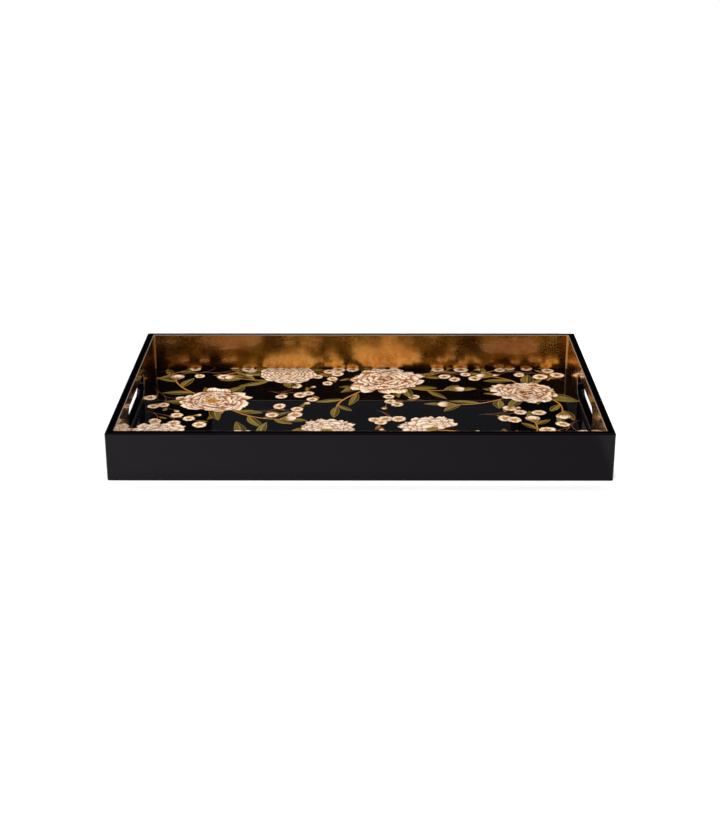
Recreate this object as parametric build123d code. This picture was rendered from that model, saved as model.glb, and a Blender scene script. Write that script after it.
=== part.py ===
from build123d import *
from math import atan2, degrees
import os

# Rectangular serving tray: four mitred boards round a grooved-in base, a hand slot in each short end.
# Millimetres, +Z up. Origin at the middle of the footprint, on the surface that the tray stands on.
# X runs along the long side, -Y is the front.

# ---- driving dimensions -------------------------------------------------
tray_length = 460.0        # over the end boards, X
tray_width = 290.0         # over the long boards, Y
tray_height = 46.3         # standing surface to rim, Z
wall = 7.0                 # thickness of the two long boards
end_wall = 7.8             # thickness of the two end boards
corner_r = 2.0             # rounding of the four upright outer corners
rim_outer_r = 1.3          # rounding of the rim's outer edge
rim_inner_r = 0.8          # rounding of the rim's inner edge
foot_edge_r = 0.5          # easing of the bottom outer edge

floor_top = 8.6            # standing surface to the decorated floor
art_thickness = 0.5        # decorated sheet with its lacquer
base_thickness = 4.0       # base board
groove_depth = 3.0         # how far the base runs into the boards
panel_gap = 0.25           # clearance at the groove's bottom, each side
felt_thickness = 1.0       # felt under the base board
felt_inset = 0.5           # felt stops this far short of the boards

slot_length = 108.4        # hand slot, along the end board
slot_low = 11.9            # hand slot's lower edge above the standing surface
slot_high = 33.9           # hand slot's upper edge
slot_edge_r = 0.8          # rounding of the slot's rims on both faces

spline_width = 5.0         # loose tongue, across the mitre
spline_thickness = 1.5     # loose tongue, along the mitre
spline_low, spline_high = 12.0, 42.0
spline_from_side = 3.6     # centre of the tongue from the long board's outer face

# ---- derived ------------------------------------------------------------
half_x, half_y = tray_length / 2, tray_width / 2
well_x, well_y = tray_length - 2 * end_wall, tray_width - 2 * wall
mitre = end_wall / wall    # how far the mitre runs in X for every millimetre in Y
art_low = floor_top - art_thickness
base_low = art_low - base_thickness
felt_low = base_low - felt_thickness
slot_height = slot_high - slot_low
slot_mid = (slot_high + slot_low) / 2


def slab(size_x, size_y, low, high):
    """A box centred on the Z axis between two heights."""
    return Pos(0, 0, (low + high) / 2) * Box(size_x, size_y, high - low)


def upright(points, low, high):
    """A prism on a plan outline between two heights."""
    face = make_face(Polyline(*[(x, y, 0) for x, y in points], close=True))
    return Pos(0, 0, low) * extrude(face, high - low)


# ---- the ring of boards, shaped as one and then cut at the mitres --------
ring = extrude(RectangleRounded(tray_length, tray_width, corner_r), tray_height)
ring -= slab(well_x, well_y, -1, tray_height + 1)

top_edges = ring.edges().filter_by_position(Axis.Z, tray_height - 0.01, tray_height + 0.01)
inner_top = [
    e for e in top_edges
    if abs(e.center().X) < half_x - end_wall + 0.1 and abs(e.center().Y) < half_y - wall + 0.1
]
outer_top = [e for e in top_edges if e not in inner_top]
ring = fillet(outer_top, rim_outer_r)

top_edges = ring.edges().filter_by_position(Axis.Z, tray_height - 0.01, tray_height + 0.01)
inner_top = [
    e for e in top_edges
    if abs(e.center().X) < half_x - end_wall + 0.1 and abs(e.center().Y) < half_y - wall + 0.1
]
ring = fillet(inner_top, rim_inner_r)

bottom_edges = ring.edges().filter_by_position(Axis.Z, -0.01, 0.01)
outer_bottom = [
    e for e in bottom_edges
    if abs(e.center().X) > half_x - corner_r or abs(e.center().Y) > half_y - corner_r
]
ring = fillet(outer_bottom, foot_edge_r)

# hand slots through both end boards, with rounded rims
slot_face = Plane.YZ * SlotOverall(slot_length, slot_height)
for side in (-1, 1):
    cutter = Pos(side * (half_x - end_wall / 2), 0, slot_mid) * extrude(slot_face, end_wall, both=True)
    ring -= cutter
slot_rims = [
    e for e in ring.edges()
    if abs(e.center().Y) < slot_length / 2 + 0.1
    and slot_low - 0.1 < e.center().Z < slot_high + 0.1
    and abs(e.center().X) > half_x - end_wall - 0.01
    and e.bounding_box().size.X < 0.01
]
ring = fillet(slot_rims, slot_edge_r)

# groove for the base board
ring -= slab(well_x + 2 * groove_depth, well_y + 2 * groove_depth, base_low, art_low)

# loose tongues across the mitres, and their slots
splines = []
across = degrees(atan2(end_wall, wall))  # the tongues stand square to the mitres
for sx in (-1, 1):
    for sy in (-1, 1):
        tongue = Box(spline_width, spline_thickness, spline_high - spline_low)
        place = Pos(
            sx * (half_x - spline_from_side * mitre),
            sy * (half_y - spline_from_side),
            (spline_low + spline_high) / 2,
        )
        splines.append(place * Rot(0, 0, -across * sx * sy) * tongue)
for tongue in splines:
    ring -= tongue

# ---- the four boards ------------------------------------------------------
# The mitre runs at 45 degrees through the rounding outside and through the rim's rounding inside,
# and straight between the two.
steps_in = [
    (-5.0, -5.0),
    (corner_r, corner_r),
    (end_wall - rim_inner_r, wall - rim_inner_r),
    (end_wall + 9.0, wall + 9.0),
]
sides = {
    "front_wall": ((-1, -1), (1, -1)),
    "right_wall": ((1, -1), (1, 1)),
    "back_wall": ((1, 1), (-1, 1)),
    "left_wall": ((-1, 1), (-1, -1)),
}
boards = {}
for name, (a, b) in sides.items():
    mitre_a = [(a[0] * (half_x - dx), a[1] * (half_y - dy)) for dx, dy in steps_in]
    mitre_b = [(b[0] * (half_x - dx), b[1] * (half_y - dy)) for dx, dy in steps_in]
    boards[name] = ring & upright(mitre_a + mitre_b[::-1], -1, tray_height + 1)

# ---- floor ----------------------------------------------------------------
base_board = slab(
    well_x + 2 * (groove_depth - panel_gap), well_y + 2 * (groove_depth - panel_gap), base_low, art_low
)
art_panel = slab(well_x, well_y, art_low, floor_top)
underside_felt = Pos(0, 0, felt_low) * extrude(
    RectangleRounded(well_x - 2 * felt_inset, well_y - 2 * felt_inset, 2.0), felt_thickness
)

nodes = dict(boards)
nodes["base_board"] = base_board
nodes["art_panel"] = art_panel
nodes["underside_felt"] = underside_felt
nodes["corner_splines"] = Compound(children=[Solid(s.solids()[0].wrapped) for s in splines])

os.makedirs("parts", exist_ok=True)
for name, shape in nodes.items():
    solids = shape.solids()
    size = shape.bounding_box().size
    print(name, len(solids), "solids", round(sum(s.volume for s in solids)), "mm3", [round(v, 2) for v in size])
    if name != "corner_splines" and len(solids) == 1:
        shape = solids[0]
    export_step(shape, f"parts/{name}.step")
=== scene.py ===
import math

import bpy
import numpy as np
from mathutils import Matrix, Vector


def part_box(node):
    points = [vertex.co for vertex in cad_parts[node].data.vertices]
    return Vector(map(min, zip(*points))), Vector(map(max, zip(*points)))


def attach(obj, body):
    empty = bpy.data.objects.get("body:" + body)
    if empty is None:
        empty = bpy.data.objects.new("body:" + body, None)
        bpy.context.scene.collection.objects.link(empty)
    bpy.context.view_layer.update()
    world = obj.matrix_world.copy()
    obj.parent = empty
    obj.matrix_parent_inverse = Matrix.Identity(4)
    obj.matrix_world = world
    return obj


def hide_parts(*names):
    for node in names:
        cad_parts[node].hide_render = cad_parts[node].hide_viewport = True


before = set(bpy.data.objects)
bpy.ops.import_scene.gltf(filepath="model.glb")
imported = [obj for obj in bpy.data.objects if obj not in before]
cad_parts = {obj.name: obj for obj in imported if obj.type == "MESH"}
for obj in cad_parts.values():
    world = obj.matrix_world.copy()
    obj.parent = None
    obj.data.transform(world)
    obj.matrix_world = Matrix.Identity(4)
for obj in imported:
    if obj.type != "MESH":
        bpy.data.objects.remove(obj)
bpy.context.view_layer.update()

# Everything below is worked out in millimetres in the CAD frame: X along the tray, Y across it, Z up.
MM = 0.001
HALF_X = round(-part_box("left_wall")[0].x / MM, 3)
HALF_Y = round(-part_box("front_wall")[0].y / MM, 3)
HIGH = round(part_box("front_wall")[1].z / MM, 3)
END_WALL = round(HALF_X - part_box("art_panel")[1].x / MM, 3)
LONG_WALL = round(HALF_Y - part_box("art_panel")[1].y / MM, 3)
FLOOR_TOP = round(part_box("art_panel")[1].z / MM, 3)
CORNER_R, RIM_R, EDGE_R, FOOT_R, COVE_R = 2.0, 1.3, 0.8, 0.5, 1.5
SLOT_Z, SLOT_R, SLOT_STRAIGHT = 22.9, 11.0, 43.2
LEAF = 0.3  # how deep the leafed lining reaches behind its face
BACK = 0.15  # how far the board's own face lies behind the leaf


class Build:
    """Collects faces with their corner normals and map places, then makes one joined mesh."""

    def __init__(self):
        self.faces, self.normals, self.maps, self.slots, self.values = [], [], [], [], []
        self.index, self.points = {}, []

    def point(self, p):
        key = (round(p[0] * 2000), round(p[1] * 2000), round(p[2] * 2000))
        i = self.index.get(key)
        if i is None:
            i = self.index[key] = len(self.points)
            self.points.append(p)
        return i

    def face(self, points, normals=None, uv=None, slot=0, value=0.0):
        ids = [self.point(p) for p in points]
        keep = [k for k in range(len(ids)) if ids[k] != ids[k - 1]]
        if len(keep) < 3 or len({ids[k] for k in keep}) < len(keep):
            return
        if normals is None:
            ring = [np.array(points[k], dtype=float) for k in keep]
            n = sum(np.cross(a - ring[0], b - ring[0]) for a, b in zip(ring, ring[1:] + ring[:1]))
            size = np.linalg.norm(n)
            n = n / size if size > 1e-9 else np.array((0.0, 0.0, 1.0))
            normals = [n] * len(points)
        if uv is None:
            uv = [(0.0, 0.0)] * len(points)
        if not hasattr(value, "__len__"):
            value = [value] * len(points)
        self.faces.append([ids[k] for k in keep])
        self.normals.append([normals[k] for k in keep])
        self.maps.append([uv[k] for k in keep])
        self.values.append([value[k] for k in keep])
        self.slots.append(slot)

    def make(self, name, materials, value_name=None, uv_name=None):
        mesh = bpy.data.meshes.new(name)
        co = np.array(self.points) * MM
        mesh.from_pydata(co.tolist(), [], self.faces)
        for m in materials:
            mesh.materials.append(m)
        mesh.polygons.foreach_set("material_index", self.slots)
        mesh.polygons.foreach_set("use_smooth", [True] * len(self.faces))
        if uv_name:
            flat = np.array([p for f in self.maps for p in f], float)
            lo, hi = flat.min(0), flat.max(0)
            flat = 0.004 + 0.992 * (flat - lo) / (hi - lo)
            layer = mesh.uv_layers.new(name=uv_name)
            layer.data.foreach_set("uv", flat.ravel())
        if value_name:
            attribute = mesh.attributes.new(value_name, "FLOAT", "CORNER")
            attribute.data.foreach_set("value", np.array([v for f in self.values for v in f], np.float32))
        mesh.update()
        mesh.normals_split_custom_set([tuple(n) for f in self.normals for n in f])
        o = bpy.data.objects.new(name, mesh)
        bpy.context.scene.collection.objects.link(o)
        return o


def side_frame(side):
    """Turns a wall's own (along, inward, up) into the tray's X, Y, Z."""
    half = HALF_X if side in ("front", "back") else HALF_Y
    table = {
        "front": ((1, 0), (0, 1), (0, -HALF_Y)),
        "back": ((-1, 0), (0, -1), (0, HALF_Y)),
        "left": ((0, -1), (1, 0), (-HALF_X, 0)),
        "right": ((0, 1), (-1, 0), (HALF_X, 0)),
    }
    (sx, sy), (nx, ny), (ox, oy) = table[side]

    def place(s, n, z):
        return (ox + s * sx + n * nx, oy + s * sy + n * ny, z)

    def turn(s, n, z):
        return (s * sx + n * nx, s * sy + n * ny, z)

    return half, place, turn


def thickness(side):
    """This board's thickness and that of the boards it meets."""
    return (END_WALL, LONG_WALL) if side in ("left", "right") else (LONG_WALL, END_WALL)


def arc(cn, cz, r, a0, a1, steps):
    """Points (n, z, normal n, normal z) along an arc, angles in degrees from +n towards +z."""
    out = []
    for k in range(steps + 1):
        a = math.radians(a0 + (a1 - a0) * k / steps)
        out.append((cn + r * math.cos(a), cz + r * math.sin(a), math.cos(a), math.sin(a)))
    return out


def spread(values, longest):
    """The same numbers with more put between any two that are further apart than longest."""
    out = [values[0]]
    for a, b in zip(values, values[1:]):
        k = max(1, math.ceil((b - a) / longest - 1e-6))
        out += [a + (b - a) * i / k for i in range(1, k + 1)]
    return out


STEPS = 8


def slot_ring():
    """Places round the hand slot: centre along the wall and direction."""
    out = []
    for k in range(10):
        out.append((-SLOT_STRAIGHT + 2 * SLOT_STRAIGHT * k / 10, math.pi / 2))
    for k in range(4 * STEPS):
        out.append((SLOT_STRAIGHT, math.pi / 2 - math.pi * k / (4 * STEPS)))
    for k in range(10):
        out.append((SLOT_STRAIGHT - 2 * SLOT_STRAIGHT * k / 10, -math.pi / 2))
    for k in range(4 * STEPS):
        out.append((-SLOT_STRAIGHT, -math.pi / 2 - math.pi * k / (4 * STEPS)))
    return out


def ring_at(r):
    return [(c + r * math.cos(a), SLOT_Z + r * math.sin(a)) for c, a in slot_ring()]


def ring_square(h):
    out = []
    for c, a in slot_ring():
        r = h / max(abs(math.cos(a)), abs(math.sin(a)))
        out.append((c + r * math.cos(a), SLOT_Z + r * math.sin(a)))
    return out


def slot_marks(h):
    """The columns and rows that meet the square frame round a slot."""
    t = [h * math.tan(math.radians(45) * k / STEPS) for k in range(STEPS + 1)]
    s = sorted({round(x, 6) for x in [-SLOT_STRAIGHT - v for v in t] + [SLOT_STRAIGHT + v for v in t] + [-SLOT_STRAIGHT + 2 * SLOT_STRAIGHT * k / 10 for k in range(11)]})
    z = sorted({round(SLOT_Z + v, 6) for v in t} | {round(SLOT_Z - v, 6) for v in t})
    return s, z




def at_column(col, n, half, place, mitre):
    """A point of a wall whose upright corner is rounded. Inside the rounding, every column stops at the mitre."""
    s, a = col
    if n < CORNER_R and a != 0:
        sign = 1 if a > 0 else -1
        t = math.radians(abs(a))
        return place(s + sign * (CORNER_R - n) * math.sin(t), CORNER_R - (CORNER_R - n) * math.cos(t))
    if n >= CORNER_R:
        end = half - mitre(n)
        s = math.copysign(end if a != 0 else min(abs(s), end), s)
    return place(s, n)


def turned(col, pn, n):
    """The direction (along, inward) that an inward normal takes at a column."""
    s, a = col
    if a == 0 or n >= CORNER_R:
        return (0.0, pn)
    sign = 1 if a > 0 else -1
    t = math.radians(abs(a))
    return (-sign * math.sin(t) * pn, math.cos(t) * pn)


def wall(side, material):
    """One board of the frame: rounded rim and foot, groove for the base, mitred ends and, in the end boards, the hand slot."""
    half, place, turn = side_frame(side)
    deep, other = thickness(side)

    def mitre(n):
        """How far from the corner the board stops at a depth: straight between the two roundings, 45 degrees inside the rim's."""
        if n > deep - EDGE_R:
            return n - deep + other
        return CORNER_R + (n - CORNER_R) * (other - EDGE_R - CORNER_R) / (deep - EDGE_R - CORNER_R)

    slotted = side in ("left", "right")
    b = Build()
    frame_out, frame_in = 14.2, 14.2
    s_out, z_out = slot_marks(frame_out)
    s_in, z_in = slot_marks(frame_in)
    end = half - CORNER_R
    marks = [-end, end] + ((s_out + s_in) if slotted else [])
    straight = spread(sorted({round(m, 6) for m in marks}), 9.0)
    turns = [7.5, 15, 22.5, 30, 37.5, 45]
    cols = [(-end, -a) for a in reversed(turns)] + [(s, 0.0) for s in straight] + [(end, a) for a in turns]

    def rows(lo, hi, marks):
        if not slotted:
            return spread([lo, hi], 12.0)
        return sorted({lo, hi} | set(marks))

    rim_z = HIGH - RIM_R
    edge_z = HIGH - EDGE_R
    inner_n = deep - BACK
    outline = []  # (n, z, nn, nz) and what the next stretch is

    def add(points, kind="plain"):
        outline.append((points, kind))

    add(arc(FOOT_R, FOOT_R, FOOT_R, 270, 180, 4))
    add([(0.0, z, -1, 0) for z in rows(FOOT_R, rim_z, z_out)], "outer")
    add(arc(RIM_R, rim_z, RIM_R, 180, 90, 6))
    add([(n, HIGH, 0, 1) for n in spread([RIM_R, deep - EDGE_R], 2.0)])
    add([(deep - EDGE_R, HIGH, 1, 0), (deep - EDGE_R, HIGH - BACK, 1, 0)])
    add(arc(deep - EDGE_R, edge_z, EDGE_R - BACK, 90, 0, 4))
    add([(inner_n, z, 1, 0) for z in reversed(rows(8.1, edge_z, z_in))], "inner")
    add([(inner_n, 8.1, 0, -1), (deep - 3.0, 8.1, 0, -1)])
    add([(deep - 3.0, 8.1, 1, 0), (deep - 3.0, 4.1, 1, 0)])
    add([(deep - 3.0, 4.1, 0, 1), (deep, 4.1, 0, 1)])
    add([(deep, 4.1, 1, 0), (deep, FOOT_R, 1, 0)])
    add(arc(deep - FOOT_R, FOOT_R, FOOT_R, 0, -90, 4))
    add([(deep - FOOT_R, 0.0, 0, -1), (FOOT_R, 0.0, 0, -1)])

    def corner(col, q):
        n, z, nn, nz = q
        p = at_column(col, n, half, lambda s, m: place(s, m, z), mitre)
        ds, dn = turned(col, nn, n)
        return p, turn(ds, dn, nz)

    def boxed(frame_h, c0, c1, z0, z1):
        return (
            slotted
            and min(c0[0], c1[0]) >= -SLOT_STRAIGHT - frame_h - 1e-4
            and max(c0[0], c1[0]) <= SLOT_STRAIGHT + frame_h + 1e-4
            and c0[1] == 0 and c1[1] == 0
            and min(z0, z1) >= SLOT_Z - frame_h - 1e-4
            and max(z0, z1) <= SLOT_Z + frame_h + 1e-4
        )

    for points, kind in outline:
        for q0, q1 in zip(points, points[1:]):
            for c0, c1 in zip(cols, cols[1:]):
                if kind == "outer" and boxed(frame_out, c0, c1, q0[1], q1[1]):
                    continue
                if kind == "inner" and boxed(frame_in, c0, c1, q0[1], q1[1]):
                    continue
                a, b_, c, d = corner(c0, q0), corner(c0, q1), corner(c1, q1), corner(c1, q0)
                b.face([a[0], d[0], c[0], b_[0]], [a[1], d[1], c[1], b_[1]])
    # mitred ends
    for col, flip in ((cols[0], False), (cols[-1], True)):
        loop = []
        for points, kind in outline:
            for q in points[:-1]:
                loop.append(corner(col, q)[0])
        b.face(loop[::-1] if flip else loop)
    if slotted:
        square = {"outer": ring_square(frame_out), "inner": ring_square(frame_in)}
        dirs = [(math.cos(a), math.sin(a)) for c, a in slot_ring()]
        loops = []

        def ring(points, n, nn, nr):
            loops.append([(place(s, n, z), turn(nr * dx, nn, nr * dz)) for (s, z), (dx, dz) in zip(points, dirs)])

        def stitch(k):
            u, v = loops[k], loops[k + 1]
            m = len(u)
            for i in range(m):
                j = (i + 1) % m
                b.face([u[j][0], u[i][0], v[i][0], v[j][0]], [u[j][1], u[i][1], v[i][1], v[j][1]])

        def run(rings):
            loops.clear()
            for args in rings:
                ring(*args)
            for k in range(len(loops) - 1):
                stitch(k)

        r = SLOT_R
        run([(square["outer"], 0.0, -1, 0), (ring_at(r + EDGE_R), 0.0, -1, 0)])
        rounding = []
        for k in range(6):
            a = math.radians(90 * k / 5)
            rounding.append((ring_at(r + EDGE_R - EDGE_R * math.sin(a)), EDGE_R - EDGE_R * math.cos(a), -math.cos(a), -math.sin(a)))
        run(rounding)
        run([(ring_at(r), EDGE_R, 0, -1), (ring_at(r), 3.5, 0, -1), (ring_at(r), deep - EDGE_R, 0, -1)])
        run([(ring_at(r), deep - EDGE_R, 1, 0), (ring_at(r + BACK), deep - EDGE_R, 1, 0)])
        rounding = []
        for k in range(5):
            a = math.radians(90 * k / 4)
            rr = EDGE_R - BACK
            rounding.append((ring_at(r + EDGE_R - rr * math.cos(a)), deep - EDGE_R + rr * math.sin(a), math.sin(a), -math.cos(a)))
        run(rounding)
        run([(ring_at(r + EDGE_R), inner_n, 1, 0), (square["inner"], inner_n, 1, 0)])
    return b.make(side + "_wall_board", [material])


def rubbed_and_highlit(f):
    """How much of the pale edge colour an edge takes, from the start of its rounding on the face (0) to the lacquer's
    edge (1): partly a worn bare edge, partly a painted highlight.
    """
    return min(1.0, max(0.0, (f - 0.10) / 0.20))


def dulled_in_shade(worn_and_highlit, dz):
    """On a hand slot's lower edge the pale edge colour gives way to dark, painted shade where no highlight falls: 1..2
    is pale to dark.
    """
    return worn_and_highlit * (1.0 + min(1.0, max(0.0, -dz * 1.6 - 0.1)))


def lining(side, material):
    """The leafed skin on the inside of one board, with the leaf carried round the rim and the slot's edge, and a small cove in each corner."""
    half, place, turn = side_frame(side)
    deep, other = thickness(side)
    slotted = side in ("left", "right")
    b = Build()
    h = 14.2
    low = FLOOR_TOP - 0.3
    edge_z = HIGH - EDGE_R
    s_in, z_in = slot_marks(h)
    end = half - other - COVE_R
    marks = [-end, end] + (s_in if slotted else [])
    straight = spread(sorted({round(m, 6) for m in marks}), 9.0)
    turns = [5, 15, 25, 35, 45]
    cols = [(-end, -a) for a in reversed(turns)] + [(s, 0.0) for s in straight] + [(end, a) for a in turns]

    def corner(col, q):
        """q is (n, z, nn, nz). The cove's centre is COVE_R inside both faces, and it runs out to the rim's sharp corner."""
        n, z, nn, nz = q
        s, a = col
        if a == 0:
            return place(s, n, z), turn(0, nn, nz)
        sign = 1 if a > 0 else -1
        t = math.radians(abs(a))
        f = deep - n
        s7, n7 = s + sign * COVE_R * math.sin(t), deep + COVE_R - COVE_R * math.cos(t)
        s6 = s + sign * (COVE_R + 1.0) * abs(a) / 45.0
        return place(s7 + (s6 - s7) * f, n7 + (deep - 1.0 - n7) * f, z), turn(-sign * math.sin(t) * nn, math.cos(t) * nn, nz)

    zs = sorted({low, edge_z} | (set(z_in) if slotted else set(spread([low, edge_z], 7.0))))
    face = [(deep, z, 1, 0) for z in zs]
    rim = arc(deep - EDGE_R, edge_z, EDGE_R, 0, 90, 7)
    back = [(deep - LEAF, z, -1, 0) for z in reversed(zs)]
    back_rim = [(n, z, -nn, -nz) for n, z, nn, nz in arc(deep - EDGE_R, edge_z, EDGE_R - LEAF, 90, 0, 4)]
    lap = [(deep - EDGE_R, HIGH, -1, 0), (deep - EDGE_R, HIGH - LEAF, -1, 0)]
    foot = [(deep - LEAF, low, 0, -1), (deep, low, 0, -1)]
    tall = HIGH - low

    def along(col):
        s, a = col
        return s + (1 if a > 0 else -1) * math.radians(abs(a)) * COVE_R * (a != 0)

    def uv_of(kind, col, q, k):
        u = along(col)
        if kind in ("face", "rim"):
            return (u, q[1] if kind == "face" else edge_z + EDGE_R * math.radians(90 * k / 7))
        if kind == "lap":
            return (u, tall + 12 + 0.5 * k)
        if kind == "back_rim":
            return (u, tall + 15 + 0.7 * math.radians(90 * k / 4))
        if kind == "back":
            return (u, tall + 18 + (edge_z - q[1]))
        return (u, low - 2 + 0.5 * k)

    def boxed(c0, c1, z0, z1):
        return (
            slotted
            and c0[1] == 0 and c1[1] == 0
            and min(c0[0], c1[0]) >= -SLOT_STRAIGHT - h - 1e-4
            and max(c0[0], c1[0]) <= SLOT_STRAIGHT + h + 1e-4
            and min(z0, z1) >= SLOT_Z - h - 1e-4
            and max(z0, z1) <= SLOT_Z + h + 1e-4
        )

    parts = (("face", face), ("rim", rim), ("lap", lap), ("back_rim", back_rim), ("back", back), ("foot", foot))
    for kind, points in parts:
        for k, (q0, q1) in enumerate(zip(points, points[1:])):
            for c0, c1 in zip(cols, cols[1:]):
                if kind in ("face", "back") and boxed(c0, c1, q0[1], q1[1]):
                    continue
                got = [corner(c, q) for c, q in ((c0, q0), (c0, q1), (c1, q1), (c1, q0))]
                uv = [uv_of(kind, c0, q0, k), uv_of(kind, c0, q1, k + 1), uv_of(kind, c1, q1, k + 1), uv_of(kind, c1, q0, k)]
                # -1 marks the bead of size in the inner corners, which the leaf material colours pale and bright as a
                # painted highlight
                t0, t1 = (-1.0 if abs(c[1]) > 26 else 0.0 for c in (c0, c1))
                worn_and_highlit = [t0, t0, t1, t1]
                # the rim's rounding and the lap take the pale edge colour: partly wear, partly a painted highlight
                if kind == "rim":
                    w0, w1 = rubbed_and_highlit(k / 7), rubbed_and_highlit((k + 1) / 7)
                    worn_and_highlit = [w0, w1, w1, w0]
                if kind == "lap":
                    worn_and_highlit = [1.0] * 4
                b.face([g[0] for g in got], [g[1] for g in got], uv, 0, worn_and_highlit)
    for col, flip in ((cols[0], True), (cols[-1], False)):
        loop, uv = [], []
        for kind, points in parts:
            for q in points[:-1]:
                loop.append(corner(col, q)[0])
                uv.append(((half + 4 if not flip else -half - 4) + (q[0] - deep) * (1 if not flip else -1), q[1]))
        b.face(loop[::-1] if flip else loop, None, uv[::-1] if flip else uv)
    if slotted:
        dirs = [(math.cos(a), math.sin(a)) for c, a in slot_ring()]

        def run(rings, worn_and_highlit, shift=0.0):
            """Each ring is (points, n, normal n, normal r, map radius)."""
            made = []
            for (points, n, nn, nr, mr) in rings:
                uvs = points if mr is None else ring_at(mr)
                made.append([(place(s, n, z), turn(nr * dx, nn, nr * dz), (u[0], u[1] if shift == 0 else shift - u[1])) for (s, z), (dx, dz), u in zip(points, dirs, uvs)])
            for k in range(len(made) - 1):
                p, q = made[k], made[k + 1]
                m = len(p)
                for i in range(m):
                    j = (i + 1) % m
                    got = (p[i], p[j], q[j], q[i])
                    di, dj = dirs[i][1], dirs[j][1]
                    b.face([g[0] for g in got], [g[1] for g in got], [g[2] for g in got], 0,
                           [dulled_in_shade(worn_and_highlit[k], di), dulled_in_shade(worn_and_highlit[k], dj), dulled_in_shade(worn_and_highlit[k + 1], dj), dulled_in_shade(worn_and_highlit[k + 1], di)])

        r = SLOT_R
        square = ring_square(h)
        run([(square, deep, 1, 0, None), (ring_at(r + EDGE_R), deep, 1, 0, None)], [0, 0])
        rings, worn_and_highlit = [], []
        for k in range(7):
            a = math.radians(90 * k / 6)
            rings.append((ring_at(r + EDGE_R - EDGE_R * math.sin(a)), deep - EDGE_R + EDGE_R * math.cos(a), math.cos(a), -math.sin(a), r + EDGE_R - EDGE_R * a))
            worn_and_highlit.append(rubbed_and_highlit(k / 6))
        run(rings, worn_and_highlit)
        run([(ring_at(r), deep - EDGE_R, -1, 0, r - 2.0), (ring_at(r + LEAF), deep - EDGE_R, -1, 0, r - 2.5)], [1, 1])
        mirrored = tall + 18 + edge_z
        rings = []
        for k in range(5):
            a = math.radians(90 * k / 4)
            rr = EDGE_R - LEAF
            rings.append((ring_at(r + EDGE_R - rr * math.cos(a)), deep - EDGE_R + rr * math.sin(a), -math.sin(a), math.cos(a), r + EDGE_R - rr * (math.pi / 2 - a)))
        run(rings, [0] * 5, mirrored)
        run([(ring_at(r + EDGE_R), deep - LEAF, -1, 0, None), (square, deep - LEAF, -1, 0, None)], [0, 0], mirrored)
    return b.make(side + "_wall_gold_leaf", [material], "arris", "OFBake")


# ---------------------------------------------------------------- decoration
# The floor's decoration is painted here from curves: every petal, leaf and twig is a formula
# evaluated on a fine grid of points, in millimetres on the panel.
CELL = 0.25
PX0, PY0, PW, PH = -222.2, -138.0, 444.4, 276.0
NX, NY = int(round(PW / CELL)), int(round(PH / CELL))


def srgb(r, g, b):
    c = np.array([r, g, b], np.float32) / 255.0
    return np.where(c <= 0.04045, c / 12.92, ((c + 0.055) / 1.055) ** 2.4).astype(np.float32)


CREAM = srgb(253, 236, 210)
IVORY = srgb(240, 214, 178)
BLUSH = srgb(238, 195, 152)
ROSE = srgb(210, 154, 104)
RUST = srgb(152, 88, 46)
LINE = srgb(100, 55, 28)
SHADOW = srgb(52, 26, 18)
OCHRE = srgb(184, 126, 52)
AMBER = srgb(192, 112, 38)
HONEY = srgb(226, 176, 92)
OLIVE = srgb(84, 97, 42)
MOSS = srgb(56, 69, 34)
DEEP = srgb(27, 35, 18)
SAGE = srgb(112, 122, 70)
TWIG = srgb(128, 82, 56)
BARK = srgb(70, 42, 30)
GROUND = srgb(5, 4, 5)
UNDER = np.array([0.62, 0.78, 0.86], np.float32)

canvas = np.empty((NY, NX, 3), np.float32)
canvas[:] = GROUND


def window(x0, x1, y0, y1):
    i0, i1 = max(0, int((x0 - PX0) / CELL) - 1), min(NX, int((x1 - PX0) / CELL) + 2)
    j0, j1 = max(0, int((y0 - PY0) / CELL) - 1), min(NY, int((y1 - PY0) / CELL) + 2)
    if i0 >= i1 or j0 >= j1:
        return None
    x = PX0 + (np.arange(i0, i1, dtype=np.float32) + 0.5) * CELL
    y = PY0 + (np.arange(j0, j1, dtype=np.float32) + 0.5) * CELL
    return (slice(j0, j1), slice(i0, i1)), x[None, :], y[:, None]


def smooth(a, b, v):
    t = np.clip((v - a) / (b - a), 0, 1)
    return t * t * (3 - 2 * t)


def lay(where, colour, alpha):
    part = canvas[where]
    part += (colour - part) * alpha[..., None]


def shade(where, alpha):
    canvas[where] *= 1 - alpha[..., None] * UNDER


def mix(a, b, t):
    return a + (b - a) * t[..., None]


class Place:
    """A local drawing frame: turned, scaled and squashed."""

    def __init__(self, x, y, turn=0.0, scale=1.0, squash=1.0, squash_turn=0.0):
        c, s = math.cos(turn), math.sin(turn)
        r = np.array([[c, -s], [s, c]])
        c2, s2 = math.cos(squash_turn), math.sin(squash_turn)
        q = np.array([[c2, -s2], [s2, c2]])
        self.m = q @ np.diag([1.0, squash]) @ q.T @ r * scale
        self.inv = np.linalg.inv(self.m)
        self.o = np.array([x, y], float)
        self.unit = math.sqrt(abs(np.linalg.det(self.m)))


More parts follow.
